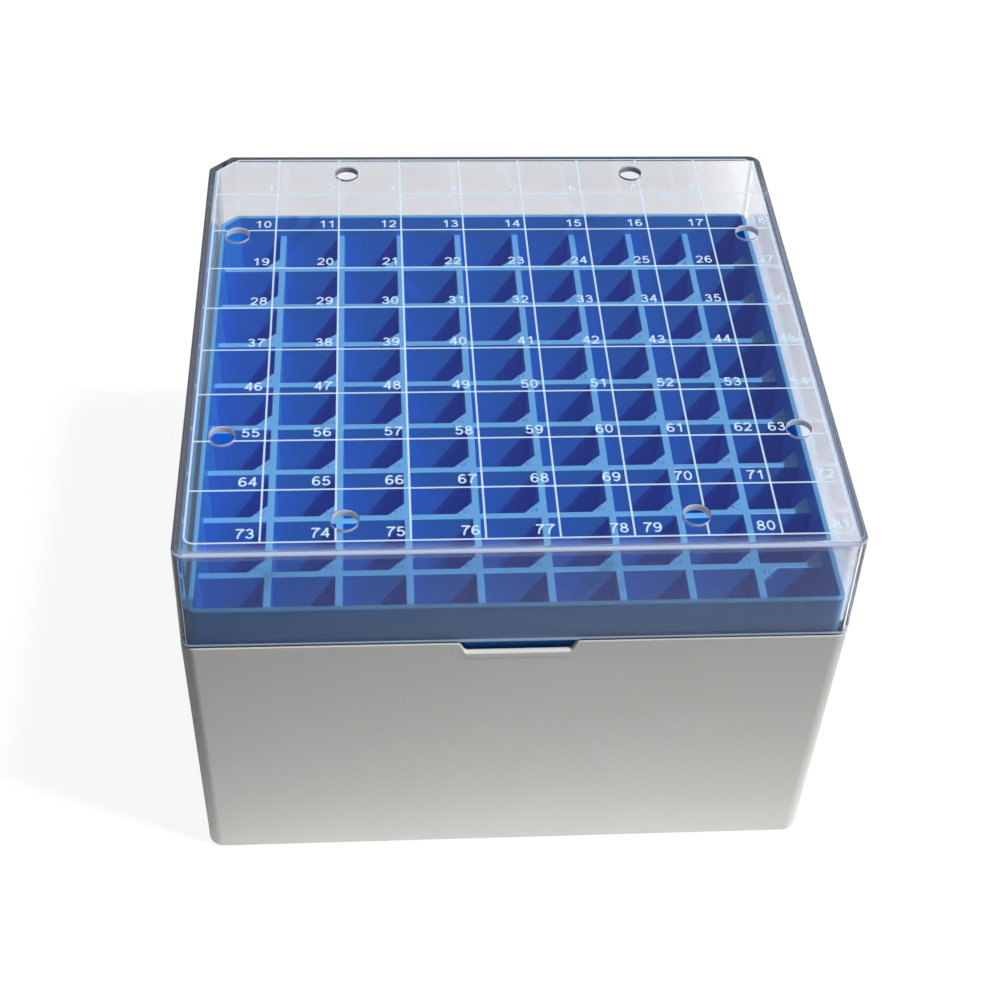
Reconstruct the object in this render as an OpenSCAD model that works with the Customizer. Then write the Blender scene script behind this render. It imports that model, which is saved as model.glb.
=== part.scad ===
// Storage box for tubes kept in a cold store: an opaque drafted base, a
// lift-out grid of wells and a clear vented lid, each moulded in one piece.
// Millimetres. Z is up, the front faces -Y, and the origin is the middle of
// the underside. The corner at -X, +Y is cut off on all three pieces, so
// that lid, grid and base only go together one way round.

/* [Whole box] */
// Outside width and depth of the lid and of the base's rim
box_w = 133; // [131:0.5:140]
// Height of the closed box
box_h = 93; // [90:0.5:100]
// Radius of the upright outside corners
corner_r = 3; // [2:0.25:4]
// Radius of the upright inside corners
inner_r = 1.4; // [1:0.1:1.8]
// How far the keyed corner is cut back along each side
key_leg = 5; // [4:0.25:7]
// Radius that softens both ends of the keyed corner's cut
key_r = 1; // [0.6:0.1:1.5]

/* [Lid] */
// Height of the lid, measured outside
lid_h = 25.6; // [24:0.1:28]
// Thickness of the lid's top
lid_top_t = 1.6; // [1.2:0.1:2.2]
// Thickness of the lid's skirt
skirt_t = 1.5; // [1.2:0.1:1.6]
// Rounding of the lid's top edge
lid_edge_r = 0.9; // [0.5:0.1:1.2]
// Diameter of a vent hole
vent_d = 5.2; // [4:0.1:6]
// Distance from the lid's side to the row of vent holes along it
vent_in = 8.1; // [7:0.1:10]
// Distance of a vent hole from the middle of its side
vent_along = 33.9; // [30:0.1:36]

/* [Base] */
// Draft of the base's walls, as the set-in of each side at the foot
foot_in = 1.5; // [0.5:0.1:2.5]
// Wall thickness of the base
base_wall = 1.6; // [1.5:0.05:1.8]
// Thickness of the base's floor
floor_t = 2; // [1.6:0.1:3]
// Rounding between the walls and the underside
foot_r = 1.2; // [0.8:0.1:1.6]
// Depth of the recess under the floor
recess_h = 0.8; // [0.4:0.1:1.2]
// Width of the ring the base stands on
foot_ring = 6; // [4:0.5:10]
// Width of a finger notch at the rim
notch_top_w = 23.8; // [20:0.1:28]
// Width of a finger notch at its bottom
notch_low_w = 21; // [16:0.1:24]
// Depth of a finger notch below the rim
notch_h = 2.8; // [1.5:0.1:3.5]
// Diameter of a drain hole in the floor
drain_d = 5; // [3:0.1:6]
// Wells from one drain hole to the next
drain_step = 3; // [3:1:4]

/* [Grid of wells] */
// Thickness of the dividers between the wells
divider_t = 1.6; // [1.2:0.1:1.8]
// Depth of the dividers' tops below the top of the lid
divider_depth = 22.4; // [21:0.1:23]
// Depth of the grid's outer rim below the top of the lid
rim_depth = 17; // [16:0.1:18.5]
// Thickness of the grid's outer wall at its rim
rim_t = 1.5; // [1.3:0.05:1.6]
// Thickness of the grid's outer wall at its foot
grid_foot_t = 1.1; // [1:0.05:1.3]
// Rounding of the rim's outer edge
rim_edge_r = 0.5; // [0.3:0.05:0.7]
// Leg of the small triangular land in the corner of a well
land_leg = 3.3; // [2.4:0.1:4]
// Thickness of a land
land_t = 1.6; // [1:0.1:2.4]
// Height that the dividers stay above the floor, to let liquid drain
divider_lift = 2.5; // [1.5:0.1:4]

/* [Clearances] */
// Gap between the grid's outer wall and the base's wall
grid_gap = 0.3; // [0.3:0.05:0.4]

/* [Output] */
// Piece to show

/* [Hidden] */
wells = 9;
corner_fn = 16;
hole_fn = 32;
ring_h = 0.1;
over = 1;
box_half = box_w / 2;
rim_z = box_h - lid_h;
floor_z = recess_h + floor_t;
foot_half = box_half - foot_in;
skirt_half = box_half - skirt_t;
vent_row = box_half - vent_in;
base_in_top = box_half - base_wall;
base_in_low = foot_half - base_wall;
grid_top = base_in_top - grid_gap;
grid_low = base_in_low - grid_gap;
grid_rim_z = box_h - rim_depth;
divider_z = box_h - divider_depth;
// The wells fill the grid from wall to wall at its rim
pitch = (2 * (grid_top - rim_t) + divider_t) / wells;
well_w = pitch - divider_t;
well_half = well_w / 2;
last = (wells - 1) / 2;
// The small arc's centre lies this many radii past the end of the cut
key_shift = sqrt(2) - 1;
// A wall set in by one millimetre shortens the cut by this much
key_shrink = 2 - sqrt(2);
// Share of a rounding's radius at which its middle facets meet
arc_share = 0.3;

base_shell();
well_grid();
lid();

// One thin level of an outline: three round corners and the keyed corner.
module outline_level(half, r, kr, z) {
    leg = key_leg - (box_half - half) * key_shrink;
    far = half - leg - kr * key_shift;
    for (corner = [[1, 1], [1, -1], [-1, -1]])
        translate([corner[0] * (half - r), corner[1] * (half - r), z])
            cylinder(r = r, h = ring_h, $fn = corner_fn);
    for (centre = [[-far, half - kr], [kr - half, far]])
        translate([centre[0], centre[1], z])
            cylinder(r = kr, h = ring_h, $fn = corner_fn);
}

// A solid through levels given as [half width, height of its lower face].
module through_levels(levels, r, kr) {
    hull()
        for (level = levels)
            outline_level(level[0], r, kr, level[1]);
}

// Opaque outer shell with draft, a foot ring, drains and two finger notches.
module base_shell() {
    color([0.9, 0.9, 0.89])
    difference() {
        through_levels([
            [foot_half - foot_r, 0],
            [foot_half - foot_r * arc_share, foot_r * arc_share],
            [foot_half, foot_r],
            [box_half, rim_z - ring_h]
        ], corner_r, key_r);
        through_levels([
            [base_in_low, floor_z],
            [base_in_top, rim_z - ring_h],
            [base_in_top, rim_z + over]
        ], inner_r, key_r);
        foot_recess();
        for (column = [-drain_step : drain_step : drain_step])
            for (row = [-drain_step : drain_step : drain_step])
                translate([column * pitch, row * pitch, 0])
                    cylinder(d = drain_d, h = floor_z + over, $fn = hole_fn);
        for (turn = [0, 180])
            rotate([0, 0, turn])
                finger_notch();
    }
}

// Shallow square recess that leaves the base standing on a ring.
module foot_recess() {
    half = foot_half - foot_ring;
    translate([-half, -half, -over])
        cube([2 * half, 2 * half, over + recess_h]);
}

// Cut in the front wall's rim with sloping ends, for a fingertip on the lid.
module finger_notch() {
    slope = (notch_top_w - notch_low_w) / 2 / notch_h;
    top_half = notch_top_w / 2 + slope * over;
    translate([0, -base_in_low, rim_z])
        rotate([90, 0, 0])
            linear_extrude(height = foot_half - base_in_low + 2 * over)
                polygon([
                    [-notch_low_w / 2, -notch_h],
                    [notch_low_w / 2, -notch_h],
                    [top_half, over],
                    [-top_half, over]
                ]);
}

// The lift-out grid. Its outer wall follows the base's draft with an even gap,
// stands above the base as a collar for the lid, and closes the outer wells.
// The dividers run out into that sloping wall at the same height all round.
module well_grid() {
    color([0.2, 0.42, 0.78])
    union() {
        difference() {
            through_levels([
                [grid_low, floor_z],
                [grid_top, rim_z - ring_h],
                [grid_top, grid_rim_z - rim_edge_r],
                [grid_top - rim_edge_r * arc_share, grid_rim_z - rim_edge_r * arc_share],
                [grid_top - rim_edge_r, grid_rim_z - ring_h]
            ], corner_r - base_wall / 2, key_r);
            grid_hollow();
        }
        intersection() {
            dividers();
            grid_core();
        }
    }
}

// Space inside the grid's outer wall, open above and below.
module grid_hollow() {
    through_levels([
        [grid_low - grid_foot_t, floor_z - over],
        [grid_top - rim_t, grid_rim_z + over]
    ], inner_r, key_r);
}

// The same space made a little wider, so that the dividers enter the wall.
module grid_core() {
    through_levels([
        [grid_low - grid_foot_t / 2, floor_z - over],
        [grid_top - rim_t / 2, grid_rim_z + over]
    ], inner_r, key_r);
}

// Crossing walls below, and above them the level with the lands.
module dividers() {
    side = box_w;
    low_z = floor_z + divider_lift;
    land_z = divider_z - land_t;
    translate([0, 0, low_z])
        linear_extrude(height = land_z - low_z)
            difference() {
                square(side, center = true);
                for (column = [-last : last])
                    for (row = [-last : last])
                        translate([column * pitch, row * pitch])
                            square(well_w, center = true);
            }
    translate([0, 0, land_z])
        linear_extrude(height = land_t)
            difference() {
                square(side, center = true);
                for (column = [-last : last])
                    for (row = [-last : last])
                        translate([column * pitch, row * pitch])
                            well_mouth(column, row);
            }
}

// Mouth of a well. The land sits in the front right corner, and in the last
// well, at the front right of the grid, it sits in the opposite corner.
module well_mouth(column, row) {
    turn = column == last && row == -last ? 180 : 0;
    rotate([0, 0, turn])
        polygon([
            [-well_half, -well_half],
            [well_half - land_leg, -well_half],
            [well_half, land_leg - well_half],
            [well_half, well_half],
            [-well_half, well_half]
        ]);
}

// Clear lid: a flat top with eight vents and a skirt that stands on the rim.
module lid() {
    color([0.86, 0.87, 0.9, 0.35])
    difference() {
        through_levels([
            [box_half, rim_z],
            [box_half, box_h - lid_edge_r],
            [box_half - lid_edge_r * arc_share, box_h - lid_edge_r * arc_share],
            [box_half - lid_edge_r, box_h - ring_h]
        ], corner_r, key_r);
        through_levels([
            [skirt_half, rim_z - over],
            [skirt_half, box_h - lid_top_t - ring_h]
        ], inner_r, key_r);
        for (turn = [0 : 90 : 270])
            rotate([0, 0, turn])
                for (side = [-1, 1])
                    translate([side * vent_along, vent_row, box_h - lid_top_t - over])
                        cylinder(d = vent_d, h = lid_top_t + 2 * over, $fn = hole_fn);
    }
}
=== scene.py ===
import math

import bmesh
import bpy
from mathutils import Matrix, Vector


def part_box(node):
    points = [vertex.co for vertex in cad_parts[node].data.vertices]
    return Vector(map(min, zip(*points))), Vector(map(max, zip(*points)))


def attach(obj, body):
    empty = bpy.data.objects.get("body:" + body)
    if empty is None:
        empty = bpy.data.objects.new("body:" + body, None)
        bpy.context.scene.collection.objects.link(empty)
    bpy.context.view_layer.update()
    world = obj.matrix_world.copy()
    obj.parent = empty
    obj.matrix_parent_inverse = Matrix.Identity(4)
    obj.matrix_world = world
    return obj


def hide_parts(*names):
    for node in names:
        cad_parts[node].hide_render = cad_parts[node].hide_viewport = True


# Looks of a closed tube storage box: white base, blue grid of wells, clear
# lid with a printed grid. Sizes are in millimetres and come from the frame.

mm = 0.001
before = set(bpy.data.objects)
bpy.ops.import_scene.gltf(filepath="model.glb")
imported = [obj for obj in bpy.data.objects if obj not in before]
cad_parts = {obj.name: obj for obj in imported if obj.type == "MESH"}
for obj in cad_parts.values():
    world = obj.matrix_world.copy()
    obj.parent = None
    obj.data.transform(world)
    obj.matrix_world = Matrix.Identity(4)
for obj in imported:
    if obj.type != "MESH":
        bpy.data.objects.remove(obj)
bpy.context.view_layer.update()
print("frame loaded")

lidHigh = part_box("lid")[1]
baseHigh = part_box("base_shell")[1]
gridLow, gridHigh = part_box("well_grid")

jointDrop = 0.6   # the joint of lid and base lies a little lower in the photograph
boxHalf = lidHigh.x / mm
boxTop = lidHigh.z / mm
rimHeight = baseHigh.z / mm - jointDrop
gridHalf = gridHigh.x / mm
gridRim = gridHigh.z / mm
gridFoot = gridLow.z / mm


# Small helpers

def srgb(hexText):
    # sRGB hex to the linear colour that shader sockets take.
    values = []
    for i in (0, 2, 4):
        v = int(hexText[i:i + 2], 16) / 255
        values.append(v / 12.92 if v <= 0.04045 else ((v + 0.055) / 1.055) ** 2.4)
    return (*values, 1.0)


def addNode(tree, kind, feeds=None, **settings):
    # feeds gives an input either a socket to link or a plain value
    node = tree.nodes.new(kind)
    for key, value in settings.items():
        setattr(node, key, value)
    for key, value in (feeds or {}).items():
        if isinstance(value, bpy.types.NodeSocket):
            tree.links.new(value, node.inputs[key])
        else:
            node.inputs[key].default_value = value
    return node


def newMaterial(name):
    material = bpy.data.materials.new(name)
    material.use_nodes = True
    material.node_tree.nodes.clear()
    return material, material.node_tree


def smoothFaces(mesh, sharpAngle):
    for face in mesh.polygons:
        face.use_smooth = True
    mesh.set_sharp_from_angle(angle=math.radians(sharpAngle))


def meshObject(name, mesh, material, body=None, sharpAngle=35):
    obj = bpy.data.objects.new(name, mesh)
    bpy.context.scene.collection.objects.link(obj)
    if material:
        mesh.materials.append(material)
    if sharpAngle is not None:
        smoothFaces(mesh, sharpAngle)
    if body:
        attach(obj, body)
    return obj


def flatNormals(obj):
    # large flat faces keep their own normal, so bevels don't bend the light on them
    modifier = obj.modifiers.new("faceWeight", "WEIGHTED_NORMAL")
    modifier.keep_sharp = True
    modifier.weight = 100


def bmToMesh(bm, name):
    mesh = bpy.data.meshes.new(name)
    bm.to_mesh(mesh)
    bm.free()
    return mesh


def drillHoles(obj, centres, across, depth, steps):
    # Upright round holes through a moulding, cut at the given centres.
    drills = bmesh.new()
    for x, y, z in centres:
        bmesh.ops.create_cone(drills, cap_ends=True, segments=steps, radius1=across / 2 * mm,
                              radius2=across / 2 * mm, depth=depth * mm,
                              matrix=Matrix.Translation((x * mm, y * mm, z * mm)))
    cutter = meshObject("holeCutter", bmToMesh(drills, "holeMesh"), None, sharpAngle=None)
    cut = obj.modifiers.new("holes", "BOOLEAN")
    cut.object, cut.operation, cut.solver = cutter, "DIFFERENCE", "EXACT"
    graph = bpy.context.evaluated_depsgraph_get()
    made = bpy.data.meshes.new_from_object(obj.evaluated_get(graph))
    old = obj.data
    obj.modifiers.clear()
    obj.data = made
    bpy.data.meshes.remove(old)
    bpy.data.meshes.remove(cutter.data)


# Outlines shared by the three mouldings

outline = {
    "keyLeg": 5.0,        # how far the keyed corner is cut back on the lid
    "keyRound": 1.0,      # softening at both ends of that cut
    "cornerSteps": 8,     # segments in a quarter circle
    "edgeSteps": 4,       # segments across a rounded edge
}


def arc(cx, cy, r, start, end, steps):
    return [(cx + r * math.cos(math.radians(start + (end - start) * i / steps)),
             cy + r * math.sin(math.radians(start + (end - start) * i / steps)))
            for i in range(steps + 1)]


def footprint(half, r, sideStops=()):
    # Outline of a level, anticlockwise from the front left corner, with stops along front and back.
    steps = outline["cornerSteps"]
    leg = outline["keyLeg"] - (boxHalf - half) * (2 - math.sqrt(2))
    kr = outline["keyRound"]
    far = half - leg - kr * (math.sqrt(2) - 1)
    points = arc(r - half, r - half, r, 180, 270, steps)
    points += [(x, -half) for x in sorted(sideStops)]
    points += arc(half - r, r - half, r, 270, 360, steps)
    points += arc(half - r, half - r, r, 0, 90, steps)
    points += [(x, half) for x in sorted(sideStops, reverse=True)]
    points += arc(-far, half - kr, kr, 90, 135, steps // 2)
    points += arc(kr - half, far, kr, 135, 180, steps // 2)
    return points


def loft(levels, sideStops=(), shift=None, closed=True):
    # Mesh through levels given as (half, radius, height) in order, joined by quads.
    bm = bmesh.new()
    rings = []
    for index, (half, r, z) in enumerate(levels):
        ring = []
        for x, y in footprint(half, r, sideStops):
            dz = shift(index, x, y) if shift else 0
            ring.append(bm.verts.new((x * mm, y * mm, (z + dz) * mm)))
        rings.append(ring)
    count = len(rings[0])
    for a, b in zip(rings, rings[1:]):
        for i in range(count):
            j = (i + 1) % count
            bm.faces.new((a[i], a[j], b[j], b[i]))
    if closed:
        bm.faces.new(list(reversed(rings[0])))
        bm.faces.new(rings[-1])
    bmesh.ops.recalc_face_normals(bm, faces=bm.faces)
    return bm


def roundedEdge(half, z, r, steps=outline["edgeSteps"]):
    # Levels that turn from an outer wall into a top.
    found = []
    for i in range(steps + 1):
        a = math.radians(90 * i / steps)
        found.append((half - r + r * math.cos(a), z - r + r * math.sin(a)))
    return found


# Materials

whitePlastic = {
    "tint": "e9e9e5", "shade": "e2e2dd", "ior": 1.49,
    "cloud": 36.0,        # width of the patches of tone and gloss
    "smoothest": 0.37, "roughest": 0.49,
    "grain": 1.11, "bump": 0.05, "grainDepth": 0.4,   # the moulding's grain, drawn coarser than it is
}


def makeWhitePlastic():
    # injection-moulded polypropylene, satin and opaque, reads as a soft warm grey in shade
    w = whitePlastic
    material, tree = newMaterial("satinWhitePolypropylene")
    place = addNode(tree, "ShaderNodeTexCoord").outputs["Object"]
    cloud = addNode(tree, "ShaderNodeTexNoise",
                    {"Vector": place, "Scale": 1 / (w["cloud"] * mm), "Detail": 1.0})
    tone = addNode(tree, "ShaderNodeMix", {0: cloud.outputs["Fac"], 6: srgb(w["shade"]), 7: srgb(w["tint"])},
                   data_type="RGBA")
    gloss = addNode(tree, "ShaderNodeMapRange",
                    {"Value": cloud.outputs["Fac"], "To Min": w["smoothest"], "To Max": w["roughest"]})
    grain = addNode(tree, "ShaderNodeTexNoise",
                    {"Vector": place, "Scale": 1 / (w["grain"] * mm), "Detail": 0.0})
    bump = addNode(tree, "ShaderNodeBump",
                   {"Height": grain.outputs["Fac"], "Strength": w["bump"], "Distance": w["grainDepth"] * mm})
    skin = addNode(tree, "ShaderNodeBsdfPrincipled",
                   {"Base Color": tone.outputs[2], "Roughness": gloss.outputs[0], "IOR": w["ior"],
                    "Normal": bump.outputs[0]})
    addNode(tree, "ShaderNodeOutputMaterial", {"Surface": skin.outputs[0]})
    return material


bluePlastic = {
    "tint": "389bf7", "deep": "3394f3", "ior": 1.49, "roughness": 0.32,
    "paintedTopLightTint": "70baf8", "paintedNumeralLightTint": "8cc6f2",      # painted top light: paler tint for the tops of the dividers, and for the raised numerals
    "cloud": 16.7,        # width of the patches of tone
    "grain": 0.714, "bump": 0.06, "grainDepth": 0.3,  # the moulding's grain, drawn coarser than it is
    "riseFrom": 0.5, "riseFull": 0.95,                # how far a face looks up before it gets the painted top light
}


def makeBluePlastic(name, paintedTopLightTint):
    # injection-moulded polypropylene, satin, with painted light: paler on its upward faces, deeper blue on the
    # walls inside the wells
    b = bluePlastic
    material, tree = newMaterial(name)
    place = addNode(tree, "ShaderNodeTexCoord").outputs["Object"]
    cloud = addNode(tree, "ShaderNodeTexNoise",
                    {"Vector": place, "Scale": 1 / (b["cloud"] * mm), "Detail": 1.0})
    tone = addNode(tree, "ShaderNodeMix", {0: cloud.outputs["Fac"], 6: srgb(b["deep"]), 7: srgb(b["tint"])},
                   data_type="RGBA")
    # painted light: faces that look up are painted a little paler than the walls below them, as if lit from
    # above
    face = addNode(tree, "ShaderNodeNewGeometry")
    axes = addNode(tree, "ShaderNodeSeparateXYZ", {0: face.outputs["Normal"]})
    rise = addNode(tree, "ShaderNodeMapRange",
                   {"Value": axes.outputs["Z"], "From Min": b["riseFrom"], "From Max": b["riseFull"]},
                   interpolation_type="SMOOTHSTEP")
    paintedTopLight = addNode(tree, "ShaderNodeMix", {0: rise.outputs[0], 6: tone.outputs[2], 7: srgb(paintedTopLightTint)},
                    data_type="RGBA")
    grain = addNode(tree, "ShaderNodeTexNoise",
                    {"Vector": place, "Scale": 1 / (b["grain"] * mm), "Detail": 0.0})
    bump = addNode(tree, "ShaderNodeBump",
                   {"Height": grain.outputs["Fac"], "Strength": b["bump"], "Distance": b["grainDepth"] * mm})
    skin = addNode(tree, "ShaderNodeBsdfPrincipled",
                   {"Base Color": paintedTopLight.outputs[2], "Roughness": b["roughness"], "IOR": b["ior"],
                    "Normal": bump.outputs[0]})
    addNode(tree, "ShaderNodeOutputMaterial", {"Surface": skin.outputs[0]})
    return material


clearPlastic = {
    "tint": "fafafb", "shadowTint": "f8f8f9", "ior": 1.585,
    "roughness": 0.0,                    # as smooth as the polished mould
    "wave": 45.0, "bump": 0.04, "waveDepth": 0.3,     # faint unevenness of the sheet
    "grazing": 4.0,                      # how suddenly a wall turns dark as light grazes it
    "dense": 13.0, "paintedCaughtGlow": 0.22, "paintedCaughtGlowTint": "fbf9f8",   # light lost in the walls, and a painted glow for light caught there
    "frosted": 0.3, "frostClear": 0.06,  # roughness of the cut edges, and how clear they still are
    # the rear tint is a painted shade on the bores of the back vents
    "frostTint": "d4e2fb", "frostShade": "8a8c92", "rearBoreShade": "b9b7b2", "frostThrough": 0.25,
    "paintedEdgeGlow": 0.16, "paintedEdgeGlowTint": "86b4ff",           # painted glow at the front edge, for light from inside the sheet
    "paintedBoreGlow": 0.12, "paintedBoreTint": "e6d8dc",           # and a painted glow in the bores of the front vents
    "paintedWallShade": "cfd8e0", "wallFrom": 64.5,              # painted shade on the front and left walls, further out than this
    "paintedShadeEnds": (62.0, 64.0),                        # where the painted wall shade and edge glow fade at the right
    "scuff": 0.025, "milky": 0.28, "milkyFrom": (90.7, 91.2),   # scatter of those walls, low and high up
    "border": 0.11, "borderFrom": (63.6, 65.0),       # scuffed border of the top
    "streak": 0.556, "streakLean": 0.02, "streakGain": 1.6, "streakLeast": 0.2,   # its fine scratches
    "upright": 0.5, "upward": 0.05, "forward": -0.3, "rearFrom": 50.0,   # limits that tell the faces apart
}


def makeClearPlastic(name, roughness, clearness):
    # moulded clear polycarbonate with a faint grey cast, dark where one looks along a wall,
    # and where it is less clear, the pale frosted look of a cut edge
    c = clearPlastic
    material, tree = newMaterial(name)
    place = addNode(tree, "ShaderNodeTexCoord").outputs["Object"]
    wave = addNode(tree, "ShaderNodeTexNoise", {"Vector": place, "Scale": 1 / (c["wave"] * mm), "Detail": 0.0})
    bump = addNode(tree, "ShaderNodeBump",
                   {"Height": wave.outputs["Fac"], "Strength": c["bump"], "Distance": c["waveDepth"] * mm})
    haze = addNode(tree, "ShaderNodeMapRange",
                   {"Value": wave.outputs["Fac"], "To Min": roughness * 0.6, "To Max": roughness * 1.6})
    spot = addNode(tree, "ShaderNodeSeparateXYZ", {0: place})
    face = addNode(tree, "ShaderNodeNewGeometry")
    lean = addNode(tree, "ShaderNodeSeparateXYZ", {0: face.outputs["True Normal"]})
    flat = addNode(tree, "ShaderNodeMath", {0: lean.outputs["Z"]}, operation="ABSOLUTE")
    upright = addNode(tree, "ShaderNodeMath", {0: flat.outputs[0], 1: c["upright"]}, operation="LESS_THAN")

    # painted shade: the skirt's front and left walls are tinted a little darker
    nearest = addNode(tree, "ShaderNodeMath", {0: spot.outputs["X"], 1: spot.outputs["Y"]}, operation="MINIMUM")
    shaded = addNode(tree, "ShaderNodeMath", {0: nearest.outputs[0], 1: -c["wallFrom"] * mm},
                     operation="LESS_THAN")
    paintedWallShade = addNode(tree, "ShaderNodeMath", {0: upright.outputs[0], 1: shaded.outputs[0]}, operation="MULTIPLY")
    ending = addNode(tree, "ShaderNodeMapRange",
                     {"Value": spot.outputs["X"], "From Min": c["paintedShadeEnds"][0] * mm,
                      "From Max": c["paintedShadeEnds"][1] * mm, "To Min": 1.0, "To Max": 0.0},
                     interpolation_type="SMOOTHSTEP")
    paintedShade = addNode(tree, "ShaderNodeMath", {0: paintedWallShade.outputs[0], 1: ending.outputs[0]}, operation="MULTIPLY")
    tintWithPaintedShade = addNode(tree, "ShaderNodeMix", {0: paintedShade.outputs[0], 6: srgb(c["tint"]), 7: srgb(c["paintedWallShade"])},
                   data_type="RGBA")
    body = addNode(tree, "ShaderNodeBsdfPrincipled",
                   {"Base Color": tintWithPaintedShade.outputs[2], "Roughness": haze.outputs[0], "IOR": c["ior"],
                    "Transmission Weight": 1.0, "Normal": bump.outputs[0]})

    # scattered light, with a painted shade on the bores of the back vents, darker against the table
    rear = addNode(tree, "ShaderNodeMath", {0: spot.outputs["Y"], 1: c["rearFrom"] * mm},
                   operation="GREATER_THAN")
    rearBore = addNode(tree, "ShaderNodeMath",
                       {0: rear.outputs[0], 1: upright.outputs[0]}, operation="MULTIPLY")
    pale = addNode(tree, "ShaderNodeMix",
                   {0: rearBore.outputs[0], 6: srgb(c["frostTint"]), 7: srgb(c["rearBoreShade"])}, data_type="RGBA")
    front = addNode(tree, "ShaderNodeBsdfDiffuse", {"Color": pale.outputs[2]})
    back = addNode(tree, "ShaderNodeBsdfTranslucent", {"Color": pale.outputs[2]})
    glow = addNode(tree, "ShaderNodeMixShader", {0: c["frostThrough"], 1: front.outputs[0], 2: back.outputs[0]})

    if clearness < 1:
        # painted glow: the front edge is given an emission for light from inside the sheet, and so are the
        # bores of the front vents
        upward = addNode(tree, "ShaderNodeMath",
                         {0: lean.outputs["Z"], 1: c["upward"]}, operation="GREATER_THAN")
        forward = addNode(tree, "ShaderNodeMath",
                          {0: lean.outputs["Y"], 1: c["forward"]}, operation="LESS_THAN")
        frontal = addNode(tree, "ShaderNodeMath", {0: upward.outputs[0], 1: forward.outputs[0]},
                          operation="MULTIPLY")
        fading = addNode(tree, "ShaderNodeMath", {0: frontal.outputs[0], 1: ending.outputs[0]},
                         operation="MULTIPLY")
        paintedEdgeGlow = addNode(tree, "ShaderNodeMath", {0: fading.outputs[0], 1: c["paintedEdgeGlow"]}, operation="MULTIPLY")
        cool = addNode(tree, "ShaderNodeEmission",
                       {"Color": srgb(c["paintedEdgeGlowTint"]), "Strength": paintedEdgeGlow.outputs[0]})
        boreOnly = addNode(tree, "ShaderNodeMath", {0: upright.outputs[0], 1: rear.outputs[0]},
                           operation="SUBTRACT", use_clamp=True)
        paintedBoreGlow = addNode(tree, "ShaderNodeMath", {0: boreOnly.outputs[0], 1: c["paintedBoreGlow"]},
                           operation="MULTIPLY")
        warm = addNode(tree, "ShaderNodeEmission",
                       {"Color": srgb(c["paintedBoreTint"]), "Strength": paintedBoreGlow.outputs[0]})
        paintedGlows = addNode(tree, "ShaderNodeAddShader", {0: cool.outputs[0], 1: warm.outputs[0]})
        frost = addNode(tree, "ShaderNodeAddShader", {0: glow.outputs[0], 1: paintedGlows.outputs[0]})
        skin = addNode(tree, "ShaderNodeMixShader",
                       {0: 1 - clearness, 1: body.outputs[0], 2: frost.outputs[0]})
        shade = c["frostShade"]
    else:
        # the top's border is scuffed in fine lines that run along it
        wide = addNode(tree, "ShaderNodeMath", {0: spot.outputs["X"]}, operation="ABSOLUTE")
        deep = addNode(tree, "ShaderNodeMath", {0: spot.outputs["Y"]}, operation="ABSOLUTE")
        rim = addNode(tree, "ShaderNodeMath", {0: wide.outputs[0], 1: deep.outputs[0]}, operation="MAXIMUM")
        along = addNode(tree, "ShaderNodeMath", {0: spot.outputs["X"], 1: c["streakLean"], 2: rim.outputs[0]},
                        operation="MULTIPLY_ADD")
        streaks = addNode(tree, "ShaderNodeTexNoise",
                          {"W": along.outputs[0], "Scale": 1 / (c["streak"] * mm), "Detail": 2.0},
                          noise_dimensions="1D")
        near = addNode(tree, "ShaderNodeMapRange",
                       {"Value": rim.outputs[0], "From Min": c["borderFrom"][0] * mm,
                        "From Max": c["borderFrom"][1] * mm, "To Max": c["border"]},
                       interpolation_type="SMOOTHSTEP")
        worn = addNode(tree, "ShaderNodeMath",
                       {0: streaks.outputs["Fac"], 1: c["streakGain"], 2: c["streakLeast"]},
                       operation="MULTIPLY_ADD")
        band = addNode(tree, "ShaderNodeMath", {0: near.outputs[0], 1: worn.outputs[0]}, operation="MULTIPLY")
        skyward = addNode(tree, "ShaderNodeMath", {0: lean.outputs["Z"], 1: c["upright"]},
                          operation="GREATER_THAN")
        onTop = addNode(tree, "ShaderNodeMath", {0: band.outputs[0], 1: skyward.outputs[0]},
                        operation="MULTIPLY")
        # the walls with painted shade are milky just under the front edge
        under = addNode(tree, "ShaderNodeMapRange",
                        {"Value": spot.outputs["Z"], "From Min": c["milkyFrom"][0] * mm,
                         "From Max": c["milkyFrom"][1] * mm, "To Min": c["scuff"], "To Max": c["milky"]},
                        interpolation_type="SMOOTHSTEP")
        scatter = addNode(tree, "ShaderNodeMath",
                          {0: paintedShade.outputs[0], 1: under.outputs[0], 2: onTop.outputs[0]},
                          operation="MULTIPLY_ADD")
        skin = addNode(tree, "ShaderNodeMixShader",
                       {0: scatter.outputs[0], 1: body.outputs[0], 2: glow.outputs[0]})
        shade = c["shadowTint"]

    # light that grazes a wall is mostly mirrored away, so the skirt casts a soft dark band
    facing = addNode(tree, "ShaderNodeLayerWeight", {"Blend": 0.5})
    grazing = addNode(tree, "ShaderNodeMath", {0: facing.outputs["Facing"], 1: c["grazing"]}, operation="POWER")
    dim = addNode(tree, "ShaderNodeMix", {0: grazing.outputs[0], 6: srgb(shade), 7: srgb("000000")},
                  data_type="RGBA")
    through = addNode(tree, "ShaderNodeBsdfTransparent", {"Color": dim.outputs[2]})
    path = addNode(tree, "ShaderNodeLightPath")
    lighting = addNode(tree, "ShaderNodeMath",
                       {0: path.outputs["Is Shadow Ray"], 1: path.outputs["Is Diffuse Ray"]},
                       operation="MAXIMUM")
    mix = addNode(tree, "ShaderNodeMixShader",
                  {0: lighting.outputs[0], 1: skin.outputs[0], 2: through.outputs[0]})

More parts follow.
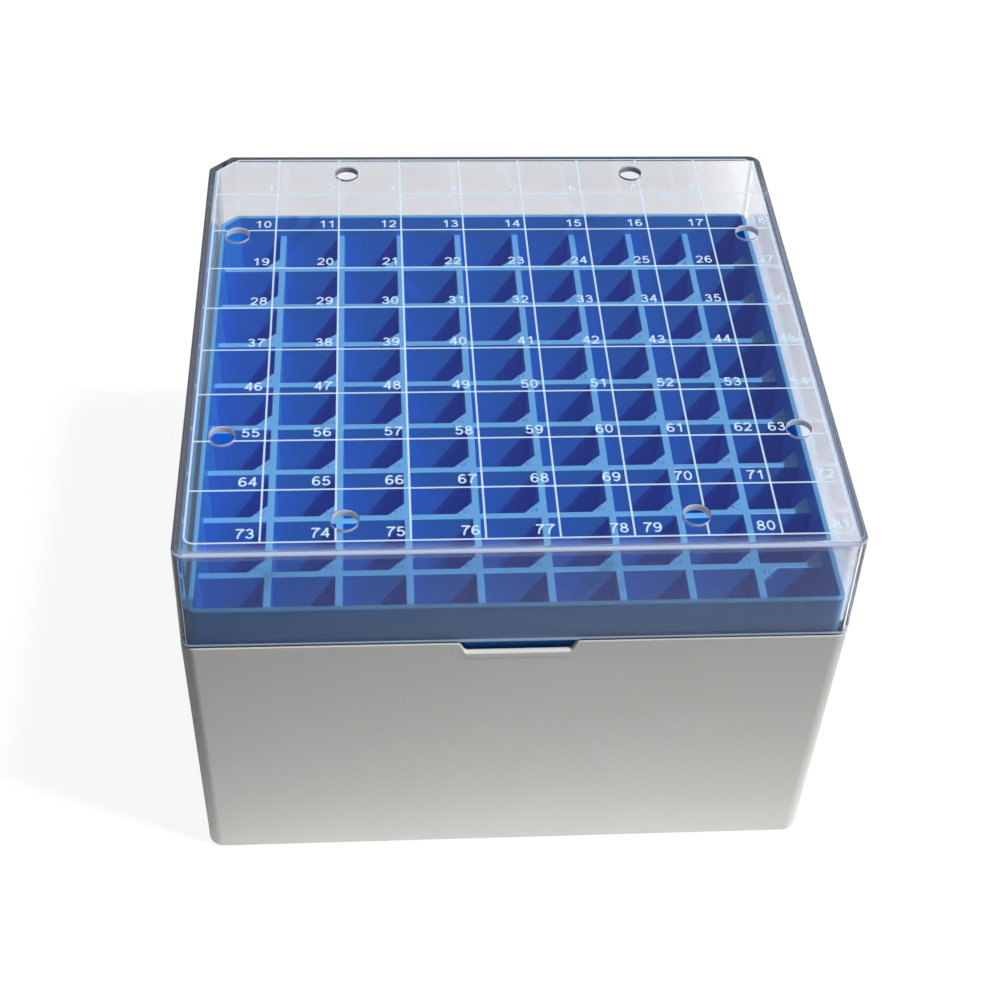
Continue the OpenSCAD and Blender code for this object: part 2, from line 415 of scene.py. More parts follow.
    # light lost in the walls, with a painted glow for light caught inside them, shows as grey where one looks
    # along them
    grey = addNode(tree, "ShaderNodeVolumeAbsorption", {"Color": srgb("000000"), "Density": c["dense"]})
    paintedCaughtGlow = addNode(tree, "ShaderNodeEmission",
                     {"Color": srgb(c["paintedCaughtGlowTint"]), "Strength": c["dense"] * c["paintedCaughtGlow"]})
    inside = addNode(tree, "ShaderNodeAddShader", {0: grey.outputs[0], 1: paintedCaughtGlow.outputs[0]})
    addNode(tree, "ShaderNodeOutputMaterial", {"Surface": mix.outputs[0], "Volume": inside.outputs[0]})
    return material


inkPrint = {
    "tint": "dcf2ff", "shade": "d2e9fb", "ior": 1.45, "roughness": 0.6,
    "cover": 0.62,        # how much of what is below one face of the ink hides
    "wear": 1.43,         # width of its worn specks
}


def makePrint():
    # thin white screen print, slightly worn and not quite opaque, matt against the clear lid
    material, tree = newMaterial("whiteScreenPrint")
    place = addNode(tree, "ShaderNodeTexCoord").outputs["Object"]
    wear = addNode(tree, "ShaderNodeTexNoise",
                   {"Vector": place, "Scale": 1 / (inkPrint["wear"] * mm), "Detail": 1.0})
    tone = addNode(tree, "ShaderNodeMix",
                   {0: wear.outputs["Fac"], 6: srgb(inkPrint["shade"]), 7: srgb(inkPrint["tint"])},
                   data_type="RGBA")
    ink = addNode(tree, "ShaderNodeBsdfPrincipled",
                  {"Base Color": tone.outputs[2], "Roughness": inkPrint["roughness"], "IOR": inkPrint["ior"]})
    through = addNode(tree, "ShaderNodeBsdfTransparent")
    path = addNode(tree, "ShaderNodeLightPath")
    thin = addNode(tree, "ShaderNodeMath", {0: path.outputs["Is Shadow Ray"], 1: 1 - inkPrint["cover"]},
                   operation="MAXIMUM")
    mix = addNode(tree, "ShaderNodeMixShader", {0: thin.outputs[0], 1: ink.outputs[0], 2: through.outputs[0]})
    addNode(tree, "ShaderNodeOutputMaterial", {"Surface": mix.outputs[0]})
    return material


whiteFinish = makeWhitePlastic()
blueFinish = makeBluePlastic("satinBluePolypropylene", bluePlastic["paintedTopLightTint"])
# the raised numerals take the same blue with a paler painted top light
raisedFinish = makeBluePlastic("blueNumeralsPaintedLight", bluePlastic["paintedNumeralLightTint"])
clearFinish = makeClearPlastic("clearPolycarbonate", clearPlastic["roughness"], 1.0)
frostedFinish = makeClearPlastic("frostedEdgePaintedGlow", clearPlastic["frosted"],
                                 clearPlastic["frostClear"])
printFinish = makePrint()
print("materials made")


# Numerals, drawn as strokes of even width like a plain grotesque face

numeral = {
    "stroke": 0.15, "advance": 0.75, "width": 0.64,   # as shares of the cap height
    "sharpest": 0.5,      # keeps the point of a sharp turn short
}


def bow(cx, cy, rx, ry, start, end, steps=12):
    return [(cx + rx * math.cos(math.radians(start + (end - start) * i / steps)),
             cy + ry * math.sin(math.radians(start + (end - start) * i / steps))) for i in range(steps + 1)]


def digitStrokes(digit):
    # centre lines in a cell one cap height tall
    if digit == 0:
        return [bow(0.32, 0.5, 0.245, 0.435, 0, 360, 24)]
    if digit == 1:
        return [[(0.385, 0.0), (0.385, 1.0)], [(0.12, 0.73), (0.25, 0.81), (0.385, 0.96)]]
    if digit == 2:
        return [bow(0.32, 0.685, 0.24, 0.25, 170, -30, 12)
                + [(0.33, 0.32), (0.12, 0.14), (0.085, 0.067), (0.6, 0.067)]]
    if digit == 3:
        return [bow(0.31, 0.725, 0.2, 0.21, 165, -80, 12), bow(0.31, 0.3, 0.245, 0.235, 85, -165, 14),
                [(0.24, 0.52), (0.35, 0.52)]]
    if digit == 4:
        return [[(0.46, 0.0), (0.46, 0.99)], [(0.44, 0.93), (0.08, 0.3), (0.63, 0.3)]]
    if digit == 5:
        return [[(0.55, 0.933), (0.19, 0.933), (0.11, 0.49)], bow(0.31, 0.33, 0.25, 0.265, 140, -160, 16)]
    if digit == 6:
        return [bow(0.325, 0.315, 0.24, 0.25, 0, 360, 20), bow(0.36, 0.5, 0.275, 0.435, 50, 205, 12)]
    if digit == 7:
        return [[(0.05, 0.933), (0.58, 0.933)] + bow(0.98, 0.0, 0.76, 1.02, 118, 180, 8)]
    if digit == 8:
        return [bow(0.32, 0.735, 0.2, 0.2, 0, 360, 20), bow(0.32, 0.29, 0.245, 0.225, 0, 360, 20)]
    # a 9 is a 6 turned round
    return [[(numeral["width"] - x, 1 - y) for x, y in stroke] for stroke in digitStrokes(6)]


def numberWidth(number, height):
    return ((len(str(number)) - 1) * numeral["advance"] + numeral["width"]) * height


def drawNumber(bm, number, x, y, z, height, depth):
    half = numeral["stroke"] / 2 * height
    for place, character in enumerate(str(number)):
        for stroke in digitStrokes(int(character)):
            line = [Vector((x + (place * numeral["advance"] + a) * height, y + b * height)) for a, b in stroke]
            closed = (line[0] - line[-1]).length < 1e-4
            sides = []
            for i, point in enumerate(line):
                before = line[i - 1] if i else (line[-2] if closed else None)
                after = line[i + 1] if i + 1 < len(line) else (line[1] if closed else None)
                a = (point - before).normalized() if before is not None else None
                b = (after - point).normalized() if after is not None else None
                run = (a + b).normalized() if a is not None and b is not None else (a if b is None else b)
                stretch = 1 / max(numeral["sharpest"], run.dot(a if a is not None else run))
                out = Vector((-run.y, run.x)) * half * stretch
                sides.append((point + out, point - out))
            rings = []
            for left, right in sides:
                rings.append([bm.verts.new((p.x * mm, p.y * mm, h * mm))
                              for p, h in ((left, z), (left, z + depth), (right, z + depth), (right, z))])
            for a, b in zip(rings, rings[1:]):
                for i in range(4):
                    j = (i + 1) % 4
                    bm.faces.new((a[i], b[i], b[j], a[j]))
            if not closed:
                bm.faces.new(rings[0])
                bm.faces.new(rings[-1][::-1])


# Base

base = {
    "cornerRound": 3.0, "innerRound": 1.4, "footHalf": 65.0, "wall": 1.55,
    "footRound": 1.2, "rimRound": 0.45, "floorTop": 2.8,
    "recess": 0.8, "recessRound": 1.0, "ring": 6.0,               # underside
    "rimDeep": 1.6, "underNotch": 1.2,                            # levels below the rim and below the notch
    "notchTop": 11.9, "notchLow": 10.5, "notchDepth": 2.95,       # half widths and depth
    "notchSteps": 4, "notchSoft": 0.35,                           # rounding of its sloping ends
    "drain": 5.0, "drainWells": (-3, 0, 3), "pitch": 14.2,         # drains under each third well
    "drainMiddle": 2.0, "drainCut": 8.0,                          # height and length of what cuts them
}


def outerHalf(z):
    low, foot = base["footRound"], base["footHalf"]
    return foot + (boxHalf - foot) * (z - low) / (rimHeight - low)


def innerHalf(z):
    low, foot = base["floorTop"], base["footHalf"]
    return foot - base["wall"] + (boxHalf - foot) * (z - low) / (rimHeight - low)


def buildBase():
    b = base
    foot = b["footHalf"] - b["ring"]
    levels = [(foot, b["recessRound"], b["recess"]), (foot, b["recessRound"], 0.0)]
    for half, z in reversed(roundedEdge(b["footHalf"], 0, b["footRound"])):
        levels.append((half, b["cornerRound"], -z))
    deep = rimHeight - b["notchDepth"] - b["underNotch"]
    for z in (deep, rimHeight - b["rimDeep"]):
        levels.append((outerHalf(z), b["cornerRound"], z))
    firstRim = len(levels)
    for half, z in roundedEdge(boxHalf, rimHeight, b["rimRound"]):
        levels.append((half, b["cornerRound"], z))
    inner = boxHalf - b["wall"]
    for share in (1, 0.3, 0):
        z = rimHeight - b["rimRound"] * (1 - share)
        levels.append((inner + b["rimRound"] * share, b["innerRound"], z))
    lastRim = len(levels)
    for z in (rimHeight - b["rimDeep"], deep, b["floorTop"]):
        levels.append((innerHalf(z), b["innerRound"], z))
    first, final = b["notchLow"] - b["notchSoft"], b["notchTop"] + b["notchSoft"]
    stops = [first + (final - first) * k / b["notchSteps"] for k in range(b["notchSteps"] + 1)]
    stops += [-s for s in stops]

    def notchShift(index, x, y):
        # lowers the rim's levels at the front and back notches
        if index < firstRim - 1 or index > lastRim or abs(abs(y) - boxHalf) > 3 or abs(x) > 20:
            return 0
        share = (b["notchTop"] - abs(x)) / (b["notchTop"] - b["notchLow"])
        share = max(0.0, min(1.0, share))
        eased = share * share * (3 - 2 * share)
        return -b["notchDepth"] * (eased * b["notchSoft"] + share * (1 - b["notchSoft"]))

    obj = meshObject("base_white", bmToMesh(loft(levels, stops, notchShift), "baseMesh"), whiteFinish)
    places = [n * b["pitch"] for n in b["drainWells"]]
    drains = [(x, y, b["drainMiddle"]) for x in places for y in places]
    drillHoles(obj, drains, b["drain"], b["drainCut"], 32)
    smoothFaces(obj.data, 35)
    flatNormals(obj)
    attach(obj, "base")
    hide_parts("base_shell")


buildBase()
print("base built")


# Grid of wells

grid = {
    "wells": 9, "pitch": 14.2, "divider": 1.6, "top": 70.6, "lift": 2.5, "land": 3.3, "landThick": 1.6,
    "lipRound": 0.25, "outerRound": 2.0, "innerRound": 0.7,
    "wallTop": 1.2, "wallFoot": 1.1, "footHalf": 63.1, "rimRound": 0.4, "rimInside": 0.3,
    "into": 0.45,         # how far the dividers' ends run into the outer wall
    "digit": 1.25, "digitHeight": 0.16, "digitIn": 0.2, "digitRoot": 0.05,
}
wellHalf = (grid["pitch"] - grid["divider"]) / 2
middle = (grid["wells"] - 1) / 2


def wallInside(z):
    g = grid
    foot = g["footHalf"] - g["wallFoot"]
    return foot + (gridHalf - g["wallTop"] - foot) * (z - gridFoot) / (gridRim - gridFoot)


def gridWall():
    g = grid
    ri, ro, lip = g["innerRound"], g["outerRound"], g["rimInside"]
    levels = [(wallInside(gridFoot), ri, gridFoot), (g["footHalf"], ro, gridFoot), (gridHalf, ro, rimHeight)]
    levels += [(half, ro, z) for half, z in roundedEdge(gridHalf, gridRim, g["rimRound"])]
    top = wallInside(gridRim)
    levels += [(top + lip, ri, gridRim), (top + lip * 0.3, ri, gridRim - lip * 0.3), (top, ri, gridRim - lip)]
    bm = loft(levels, closed=False)
    bm.verts.ensure_lookup_table()
    count = len(footprint(gridHalf, ro))
    last = len(bm.verts) - count
    for i in range(count):
        j = (i + 1) % count
        bm.faces.new((bm.verts[last + i], bm.verts[last + j], bm.verts[j], bm.verts[i]))
    bmesh.ops.recalc_face_normals(bm, faces=bm.faces)
    return bm


def turned(column, row):
    # the last well has its land in the opposite corner
    return column == grid["wells"] - 1 and row == 0


def buildDividers():
    g = grid
    n, top, leg, into = g["wells"], g["top"], g["land"], g["into"]
    landZ, lowZ = top - g["landThick"], gridFoot + g["lift"]
    low = [(i - middle) * g["pitch"] - wellHalf for i in range(n)]
    high = [(i - middle) * g["pitch"] + wellHalf for i in range(n)]
    first = [low[0] - into] + low[1:]
    final = high[:-1] + [high[-1] + into]
    bm = bmesh.new()
    known = {}

    def face(*points):
        corners = []
        for x, y, z in points:
            reach = wallInside(z) + into
            x, y = max(-reach, min(reach, x)), max(-reach, min(reach, y))
            key = (round(x, 3), round(y, 3), round(z, 3))
            if key not in known:
                known[key] = bm.verts.new((x * mm, y * mm, z * mm))
            corners.append(known[key])
        bm.faces.new(corners)

    def bar(swap, a0, a1, b0, b1, stopNear, stopFar):
        # one stretch of divider between two crossings; a runs along it, b across it
        def at(a, b, z):
            return (b, a, z) if swap else (a, b, z)
        near = [(a0, b0)] + ([(stopNear[0], b0)] if stopNear else []) + [(a1, b0)]
        far = [(a1, b1)] + ([(stopFar[0], b1)] if stopFar else []) + [(a0, b1)]
        ring = [at(a, b, top) for a, b in near + far]
        face(*(ring[::-1] if swap else ring))
        under = [at(a0, b1, lowZ), at(a1, b1, lowZ), at(a1, b0, lowZ), at(a0, b0, lowZ)]
        face(*(under[::-1] if swap else under))
        for b, stop, flip in ((b0, stopNear, swap), (b1, stopFar, not swap)):
            if not stop:
                side = [(a0, lowZ), (a1, lowZ), (a1, top), (a0, top)]
            elif stop[1] > 0:   # land at the far end of this side
                side = [(a0, lowZ), (a1, lowZ), (a1, landZ), (stop[0], landZ), (stop[0], top), (a0, top)]
            else:
                side = [(a0, lowZ), (a1, lowZ), (a1, top), (stop[0], top), (stop[0], landZ), (a0, landZ)]
            points = [at(a, b, z) for a, z in side]
            face(*(points[::-1] if flip else points))

    for k in range(n - 1):
        for m in range(n - 1):
            square = [(high[k], high[m]), (low[k + 1], high[m]),
                      (low[k + 1], low[m + 1]), (high[k], low[m + 1])]
            face(*[(x, y, top) for x, y in square])
            face(*[(x, y, lowZ) for x, y in square[::-1]])
    for k in range(n - 1):
        for i in range(n):
            near = (low[i] + leg, -1) if turned(i, k) else None
            bar(False, first[i], final[i], high[k], low[k + 1], near, (high[i] - leg, 1))
            near = None if turned(k, i) else (low[i] + leg, -1)
            far = (high[i] - leg, 1) if turned(k + 1, i) else None
            bar(True, first[i], final[i], high[k], low[k + 1], near, far)
    for i in range(n):
        for j in range(n):
            if turned(i, j):
                corner, a, b = (low[i], high[j]), (low[i], high[j] - leg), (low[i] + leg, high[j])
            else:
                right = into if i == n - 1 else 0
                front = into if j == 0 else 0
                corner = (high[i] + right, low[j] - front)
                a, b = (high[i] + right, low[j] + leg + right), (high[i] - leg - front, low[j] - front)
            face((*corner, top), (*a, top), (*b, top))
            face((*corner, landZ), (*b, landZ), (*a, landZ))
            face((*b, top), (*a, top), (*a, landZ), (*b, landZ))
    bmesh.ops.recalc_face_normals(bm, faces=bm.faces)
    lips = [e for e in bm.edges if len(e.link_faces) == 2
            and all(abs(v.co.z - top * mm) < 1e-6 for v in e.verts)
            and abs(e.link_faces[0].normal.z) + abs(e.link_faces[1].normal.z) < 1.5]
    bmesh.ops.bevel(bm, geom=lips, offset=g["lipRound"] * mm, segments=3, profile=0.5, affect="EDGES")
    return bm


def buildGrid():
    g = grid
    wall = meshObject("grid_wall", bmToMesh(gridWall(), "wallMesh"), blueFinish, "grid")
    wells = meshObject("grid_dividers", bmToMesh(buildDividers(), "dividerMesh"), blueFinish,
                       "grid", 40)
    flatNormals(wall)
    flatNormals(wells)
    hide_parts("well_grid")
    bm = bmesh.new()
    for row in range(g["wells"]):
        for column in range(g["wells"]):
            number = row * g["wells"] + column + 1
            cx, cy = (column - middle) * g["pitch"], (middle - row) * g["pitch"]
            if number == g["wells"] ** 2:
                x, y = cx - wellHalf + g["digitIn"], cy + wellHalf - g["digitIn"] - g["digit"]
            else:
                x = cx + wellHalf - g["digitIn"] - numberWidth(number, g["digit"])
                y = cy - wellHalf + g["digitIn"]
            z = g["top"] - g["digitRoot"]
            drawNumber(bm, number, x, y, z, g["digit"], g["digitHeight"] + g["digitRoot"])
    meshObject("grid_numbers", bmToMesh(bm, "gridNumberMesh"), raisedFinish, "grid", None)


buildGrid()
print("grid built")


# Lid

lid = {
    "setIn": 0.1, "skirt": 1.5, "top": 1.6, "cornerRound": 2.5, "innerRound": 0.3,
    "edge": 0.9, "edgeSteps": 5, "innerEdge": 0.06, "footEdge": 0.3,
    "vent": 5.2, "ventEdge": 0.22, "ventCut": 6.0,
    "ventOut": 58.4, "ventAlong": 33.9, "ventShift": 0.55,   # places of the vents, a little to the back
    "printThick": 0.03,
}
lidTop = boxTop - lid["printThick"]


def ventCentres():
    found = []
    for turn in range(4):
        for side in (-1, 1):
            spot = Vector((side * lid["ventAlong"], lid["ventOut"]))
            spot = Matrix.Rotation(math.radians(90 * turn), 2) @ spot
            found.append((spot.x, spot.y + lid["ventShift"]))
    return found


def bevelVents(obj, centres):
    v = lid
    bm = bmesh.new()
    bm.from_mesh(obj.data)
    lips = []
    for edge in bm.edges:
        ends = [vert.co for vert in edge.verts]
        if abs(ends[0].z - ends[1].z) > 1e-6:
            continue
        if any(all(abs((e.xy - c).length - v["vent"] / 2 * mm) < 2e-5 for e in ends) for c in centres):
            lips.append(edge)
    bmesh.ops.bevel(bm, geom=lips, offset=v["ventEdge"] * mm, segments=3, affect="EDGES", profile=0.5)
    bm.to_mesh(obj.data)
    bm.free()


def frostEdges(obj, centres):
    # the front edge, the bores of the vents and the foot take the frosted finish
    v = lid
    obj.data.materials.append(frostedFinish)
    for face in obj.data.polygons:
        n, spot = face.normal, face.center
        edge = 0.1 < n.z < 0.75 and n.y < -0.3 and spot.z > (lidTop - v["edge"]) * mm
        foot = spot.z < (rimHeight + v["footEdge"]) * mm and n.z < -0.3
        reach = (v["vent"] / 2 + v["ventEdge"]) * mm
        bore = abs(n.z) < 0.6 and any((spot.xy - c).length < reach for c in centres)
        if bore or edge or foot:
            face.material_index = 1


def buildLid():
    v = lid
    outer = boxHalf - v["setIn"]
    inner = outer - v["skirt"]
    under = lidTop - v["top"]
    levels = [(inner - v["innerEdge"], v["innerRound"], under),
              (inner - v["innerEdge"] * 0.3, v["innerRound"], under - v["innerEdge"] * 0.3),
              (inner, v["innerRound"], under - v["innerEdge"]),
              (inner, v["innerRound"], rimHeight + v["footEdge"]),
              (inner + v["footEdge"], v["innerRound"], rimHeight),
              (outer - v["footEdge"], v["cornerRound"], rimHeight),
              (outer, v["cornerRound"], rimHeight + v["footEdge"])]
    for half, z in roundedEdge(outer, lidTop, v["edge"], v["edgeSteps"]):
        levels.append((half, v["cornerRound"], z))
    obj = meshObject("lid_clear", bmToMesh(loft(levels), "lidMesh"), clearFinish)
    vents = [(x, y, lidTop - v["top"] / 2) for x, y in ventCentres()]
    drillHoles(obj, vents, v["vent"], v["ventCut"], 48)
    centres = [Vector((x * mm, y * mm)) for x, y in ventCentres()]
    bevelVents(obj, centres)
    frostEdges(obj, centres)
    smoothFaces(obj.data, 40)
    flatNormals(obj)
    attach(obj, "lid")
    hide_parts("lid")


buildLid()
print("lid built")


# Print on the lid

printed = {
    "pitch": 14.225, "shiftX": -0.05, "shiftY": 0.4, "line": 0.4, "round": 2.0, "cut": 4.6,
    "ventRoom": 0.25,     # how far the lines stop short of a vent
    "sink": 0.02,         # how deep the ink reaches into the lid, so that it sits on it
    "digit": 2.6, "right": 1.1, "low": 1.08, "narrowOne": 0.3,
    # numbers that make room for a vent
    "moved": {63: (-7.3, 0.0), 79: (-7.75, 0.0), 18: (0.55, 0.9), 81: (0.25, 0.0)},
}


def clippedRuns(fixed, start, end, alongX):
    # Parts of a printed line that don't cross a vent hole.
    reach = lid["vent"] / 2 + printed["ventRoom"]
    gaps = []
    for x, y in ventCentres():
        across, along = (y, x) if alongX else (x, y)
        off = abs(across - fixed)
        if off < reach:
            width = math.sqrt(reach ** 2 - off ** 2)
            gaps.append((along - width, along + width))
    runs, at = [], start
    for low, high in sorted(gaps):
        if low > at:
            runs.append((at, low))
        at = max(at, high)
    runs.append((at, end))
    return runs


def printLines(z0, z1):
    q = printed
    half = grid["wells"] / 2 * q["pitch"]
    w = q["line"] / 2
    bm = bmesh.new()

    def slab(corners):
        low = [bm.verts.new((x * mm, y * mm, z0 * mm)) for x, y in corners]
        high = [bm.verts.new((x * mm, y * mm, z1 * mm)) for x, y in corners]
        bm.faces.new(high)
        bm.faces.new(list(reversed(low)))
        for i in range(len(corners)):
            j = (i + 1) % len(corners)
            bm.faces.new((low[i], low[j], high[j], high[i]))

    for k in range(1, grid["wells"]):
        at = k * q["pitch"] - half
        x, y = at + q["shiftX"], at + q["shiftY"]
        for a, b in clippedRuns(x, -half + w + q["shiftY"], half - w + q["shiftY"], False):
            slab([(x - w, a), (x + w, a), (x + w, b), (x - w, b)])
        for a, b in clippedRuns(y, -half + w + q["shiftX"], half - w + q["shiftX"], True):
            slab([(a, y - w), (b, y - w), (b, y + w), (a, y + w)])

    def border(h):
        r = q["round"] + h - half
        cut = q["cut"] + (h - half) * (2 - math.sqrt(2))
        points = []
        for sideX, sideY, start in ((-1, -1, 180), (1, -1, 270), (1, 1, 0)):
            points += arc(sideX * (h - r), sideY * (h - r), r, start, start + 90, 6)
        points += [(-h + cut, h), (-h, h - cut)]
        return [(x + q["shiftX"], y + q["shiftY"]) for x, y in points]

    outer, inner = border(half + w), border(half - w)
    for i in range(len(outer)):
        j = (i + 1) % len(outer)
        slab([inner[i], outer[i], outer[j], inner[j]])
    bmesh.ops.recalc_face_normals(bm, faces=bm.faces)
    return bm


def printNumbers(z0, z1):
    q, wells = printed, grid["wells"]
    bm = bmesh.new()
    for row in range(wells):
        for column in range(wells):
            number = row * wells + column + 1
            right = (column + 1 - wells / 2) * q["pitch"] + q["shiftX"] - q["right"]
            low = (wells / 2 - row - 1) * q["pitch"] + q["shiftY"] + q["low"]
            dx, dy = q["moved"].get(number, (0, 0))
            if number % 10 == 1:
                dx += q["narrowOne"]   # a 1 is a narrow digit
            x = right - numberWidth(number, q["digit"]) + dx
            drawNumber(bm, number, x, low + dy, z0, q["digit"], z1 - z0)
    return bm


def buildPrint():
    z0, z1 = lidTop - printed["sink"], boxTop
    lines = bmToMesh(printLines(z0, z1), "printMesh")
    meshObject("lid_print_lines", lines, printFinish, "lid", sharpAngle=None)
    numbers = bmToMesh(printNumbers(z0, z1), "numberMesh")
    meshObject("lid_print_numbers", numbers, printFinish, "lid", sharpAngle=None)


buildPrint()
print("print built")


# Floor, light, camera

studio = {
    "sun": 2.8, "sunAngle": 5.0, "sunFrom": (0.63, -0.28, 1.0),        # key light, high on the right
    "sky": "fbfcff", "skyLow": 0.06, "skyTop": 0.8, "skyFrom": 0.70, "skyFull": 0.95,   # soft light overhead
    "floorWhite": "f0f0f0", "paintedFarShade": "5c5c5c", "paintedShadeThrough": "909090",
    "paintedLightPool": (0.05, 0.085, 0.0), "floorNear": 0.16, "floorEnd": 0.27,   # painted pool of light on the table, in metres
    "farBack": 0.5, "farWhite": 0.8,     # where the painted shade turns white again, so the lid stays clear from low down
    "cloud": 25.0,                       # width of the table's patches of tone
    "white": 1.04,                       # the background's strength, where 1 is white
    "shadow": 0.14,                      # how much of the floor's own shading the camera sees
    "shadowThrough": 0.82,               # and how much of it shows through the lid
    "paintedRightGlow": 3.5, "rightFrom": 0.066, "rightFull": 0.12,   # painted light, brighter at the right, through the lid
    "room": "86807e", "roomFrom": 0.08, "roomFull": 0.32,      # greyer upwards, as seen through the lid
}


def buildFloor():
    t = studio
    bm = bmesh.new()
    bmesh.ops.create_grid(bm, x_segments=8, y_segments=8, size=2.5)
    material, tree = newMaterial("whiteTableTop")
    place = addNode(tree, "ShaderNodeTexCoord").outputs["Object"]
    path = addNode(tree, "ShaderNodeLightPath")
    cloud = addNode(tree, "ShaderNodeTexNoise", {"Vector": place, "Scale": 1 / (t["cloud"] * mm)})
    paper = addNode(tree, "ShaderNodeMix",
                    {0: cloud.outputs["Fac"], 6: srgb(t["floorWhite"]), 7: srgb("ffffff")}, data_type="RGBA")
    reach = addNode(tree, "ShaderNodeVectorMath", {0: place, 1: t["paintedLightPool"]}, operation="DISTANCE")
    # painted pool of light: the table is white near the box and grey further out
    far = addNode(tree, "ShaderNodeMapRange",
                  {"Value": reach.outputs["Value"], "From Min": t["floorNear"], "From Max": t["floorEnd"]},
                  interpolation_type="SMOOTHSTEP")
    tone = addNode(tree, "ShaderNodeMix", {0: far.outputs[0], 6: paper.outputs[2], 7: srgb(t["paintedFarShade"])},
                   data_type="RGBA")
    matt = addNode(tree, "ShaderNodeBsdfDiffuse", {"Color": tone.outputs[2]})

    # painted shade as seen through the lid: grey in a ring round the box and white further out
    unseen = addNode(tree, "ShaderNodeMath", {0: 1.0, 1: path.outputs["Is Camera Ray"]}, operation="SUBTRACT")
    distant = addNode(tree, "ShaderNodeMapRange",
                      {"Value": reach.outputs["Value"], "From Min": t["farBack"], "From Max": t["farWhite"],
                       "To Min": 1.0, "To Max": 0.0}, interpolation_type="SMOOTHSTEP")
    ringOnly = addNode(tree, "ShaderNodeMath", {0: far.outputs[0], 1: distant.outputs[0]}, operation="MULTIPLY")
    farUnseen = addNode(tree, "ShaderNodeMath", {0: ringOnly.outputs[0], 1: unseen.outputs[0]},
                        operation="MULTIPLY")
    toneThrough = addNode(tree, "ShaderNodeMix",
                          {0: farUnseen.outputs[0], 6: paper.outputs[2], 7: srgb(t["paintedShadeThrough"])},
                          data_type="RGBA")
    mattThrough = addNode(tree, "ShaderNodeBsdfDiffuse", {"Color": toneThrough.outputs[2]})

    # white of the background, with painted light brighter to the right for rays that have passed through the
    # lid
    axes = addNode(tree, "ShaderNodeSeparateXYZ", {0: place})
    right = addNode(tree, "ShaderNodeMapRange",
                    {"Value": axes.outputs["X"], "From Min": t["rightFrom"], "From Max": t["rightFull"],
                     "To Max": t["paintedRightGlow"]}, interpolation_type="SMOOTHSTEP")
    strength = addNode(tree, "ShaderNodeMath", {0: right.outputs[0], 1: unseen.outputs[0], 2: t["white"]},
                       operation="MULTIPLY_ADD")
    glow = addNode(tree, "ShaderNodeEmission", {"Color": srgb("ffffff"), "Strength": strength.outputs[0]})
    share = addNode(tree, "ShaderNodeMath",
                    {0: path.outputs["Is Camera Ray"], 1: t["shadowThrough"] - t["shadow"],
                     2: 1 - t["shadowThrough"]}, operation="MULTIPLY_ADD")
    veil = addNode(tree, "ShaderNodeMixShader",
                   {0: share.outputs[0], 1: mattThrough.outputs[0], 2: glow.outputs[0]})
    seen = addNode(tree, "ShaderNodeMath",
                   {0: path.outputs["Is Camera Ray"], 1: path.outputs["Is Transmission Ray"]},
                   operation="MAXIMUM")
    mix = addNode(tree, "ShaderNodeMixShader", {0: seen.outputs[0], 1: matt.outputs[0], 2: veil.outputs[0]})
    addNode(tree, "ShaderNodeOutputMaterial", {"Surface": mix.outputs[0]})
    floor = meshObject("floor", bmToMesh(bm, "floorMesh"), material, sharpAngle=None)


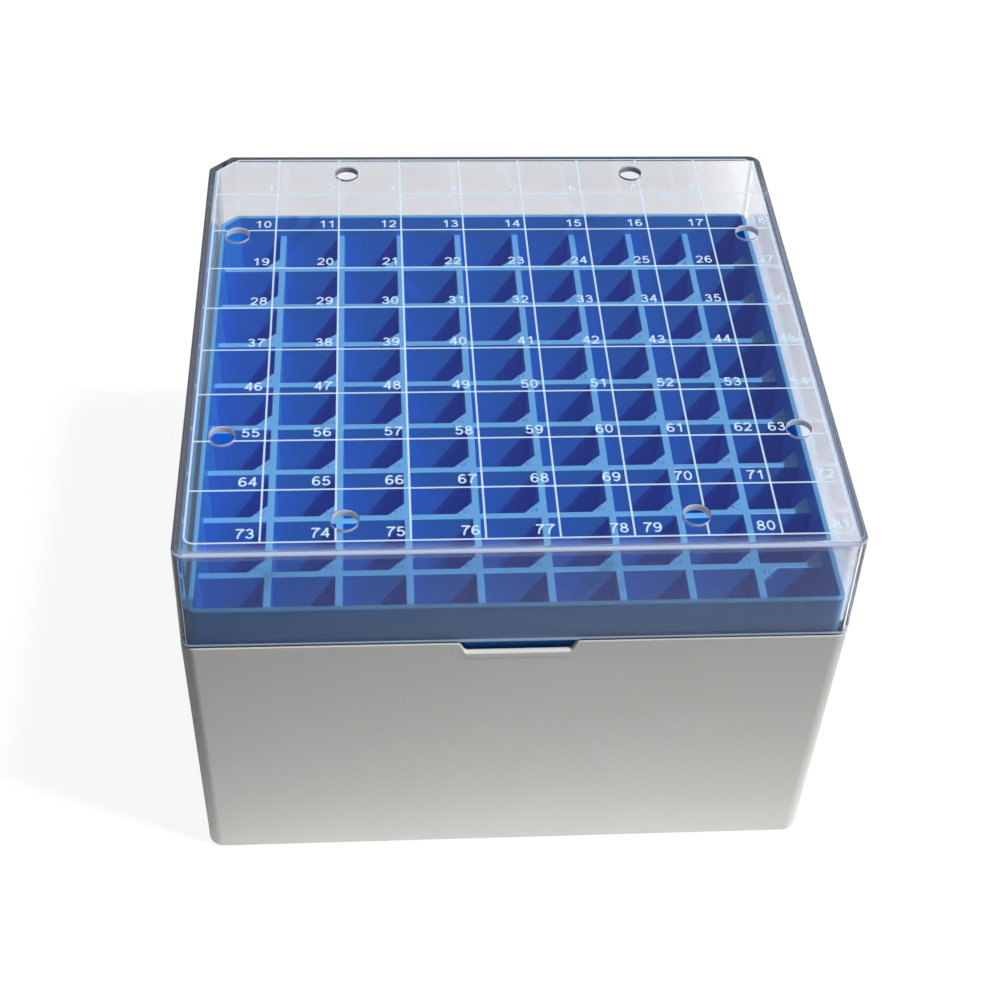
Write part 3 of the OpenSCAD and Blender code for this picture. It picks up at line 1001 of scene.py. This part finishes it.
def buildWorld():
    t = studio
    world = bpy.data.worlds.new("studioWorld")
    bpy.context.scene.world = world
    world.use_nodes = True
    tree = world.node_tree
    tree.nodes.clear()
    place = addNode(tree, "ShaderNodeTexCoord")
    axes = addNode(tree, "ShaderNodeSeparateXYZ", {0: place.outputs["Generated"]})
    height = addNode(tree, "ShaderNodeMapRange",
                     {"Value": axes.outputs["Z"], "From Min": t["skyFrom"], "From Max": t["skyFull"],
                      "To Min": t["skyLow"], "To Max": t["skyTop"]}, interpolation_type="SMOOTHSTEP")
    soft = addNode(tree, "ShaderNodeBackground", {"Color": srgb(t["sky"]), "Strength": height.outputs[0]})
    path = addNode(tree, "ShaderNodeLightPath")
    above = addNode(tree, "ShaderNodeMapRange",
                    {"Value": axes.outputs["Z"], "From Min": t["roomFrom"], "From Max": t["roomFull"]},
                    interpolation_type="SMOOTHSTEP")
    room = addNode(tree, "ShaderNodeMath", {0: above.outputs[0], 1: path.outputs["Is Transmission Ray"]},
                   operation="MULTIPLY")
    backdrop = addNode(tree, "ShaderNodeMix", {0: room.outputs[0], 6: srgb("ffffff"), 7: srgb(t["room"])},
                       data_type="RGBA")
    white = addNode(tree, "ShaderNodeBackground", {"Color": backdrop.outputs[2]})
    seen = addNode(tree, "ShaderNodeMath",
                   {0: path.outputs["Is Camera Ray"], 1: path.outputs["Is Transmission Ray"]},
                   operation="MAXIMUM")
    mix = addNode(tree, "ShaderNodeMixShader", {0: seen.outputs[0], 1: soft.outputs[0], 2: white.outputs[0]})
    addNode(tree, "ShaderNodeOutputWorld", {"Surface": mix.outputs[0]})


def buildSun():
    light = bpy.data.lights.new("keySun", "SUN")
    light.energy = studio["sun"]
    light.angle = math.radians(studio["sunAngle"])
    sun = bpy.data.objects.new("keySun", light)
    sun.rotation_mode = "QUATERNION"
    sun.rotation_quaternion = Vector(studio["sunFrom"]).to_track_quat("Z", "Y")
    bpy.context.scene.collection.objects.link(sun)


# the photograph's own viewpoint, lens and off-centre crop
view = {
    "sensor": 36, "lens": 67.735, "shiftX": -0.0108, "shiftY": -0.1056, "clip": (0.01, 50),
    "right": (0.9972500, -0.0627479, 0.0394346),
    "up": (0.0112468, 0.6540777, 0.7563437),
    "back": (-0.0732522, -0.7538203, 0.6529847),
    "spot": (-28.343, -314.524, 346.431),
}


def buildCamera():
    data = bpy.data.cameras.new("photoCamera")
    data.sensor_width = view["sensor"]
    data.lens = view["lens"]
    data.shift_x = view["shiftX"]
    data.shift_y = view["shiftY"]
    data.clip_start, data.clip_end = view["clip"]
    camera = bpy.data.objects.new("photoCamera", data)
    turn = Matrix((view["right"], view["up"], view["back"])).transposed().to_4x4()
    camera.matrix_world = Matrix.Translation(Vector(view["spot"]) * mm) @ turn
    bpy.context.scene.collection.objects.link(camera)
    bpy.context.scene.camera = camera


buildFloor()
buildWorld()
buildSun()
buildCamera()
bpy.context.scene.view_settings.view_transform = "Standard"
print("stage built")
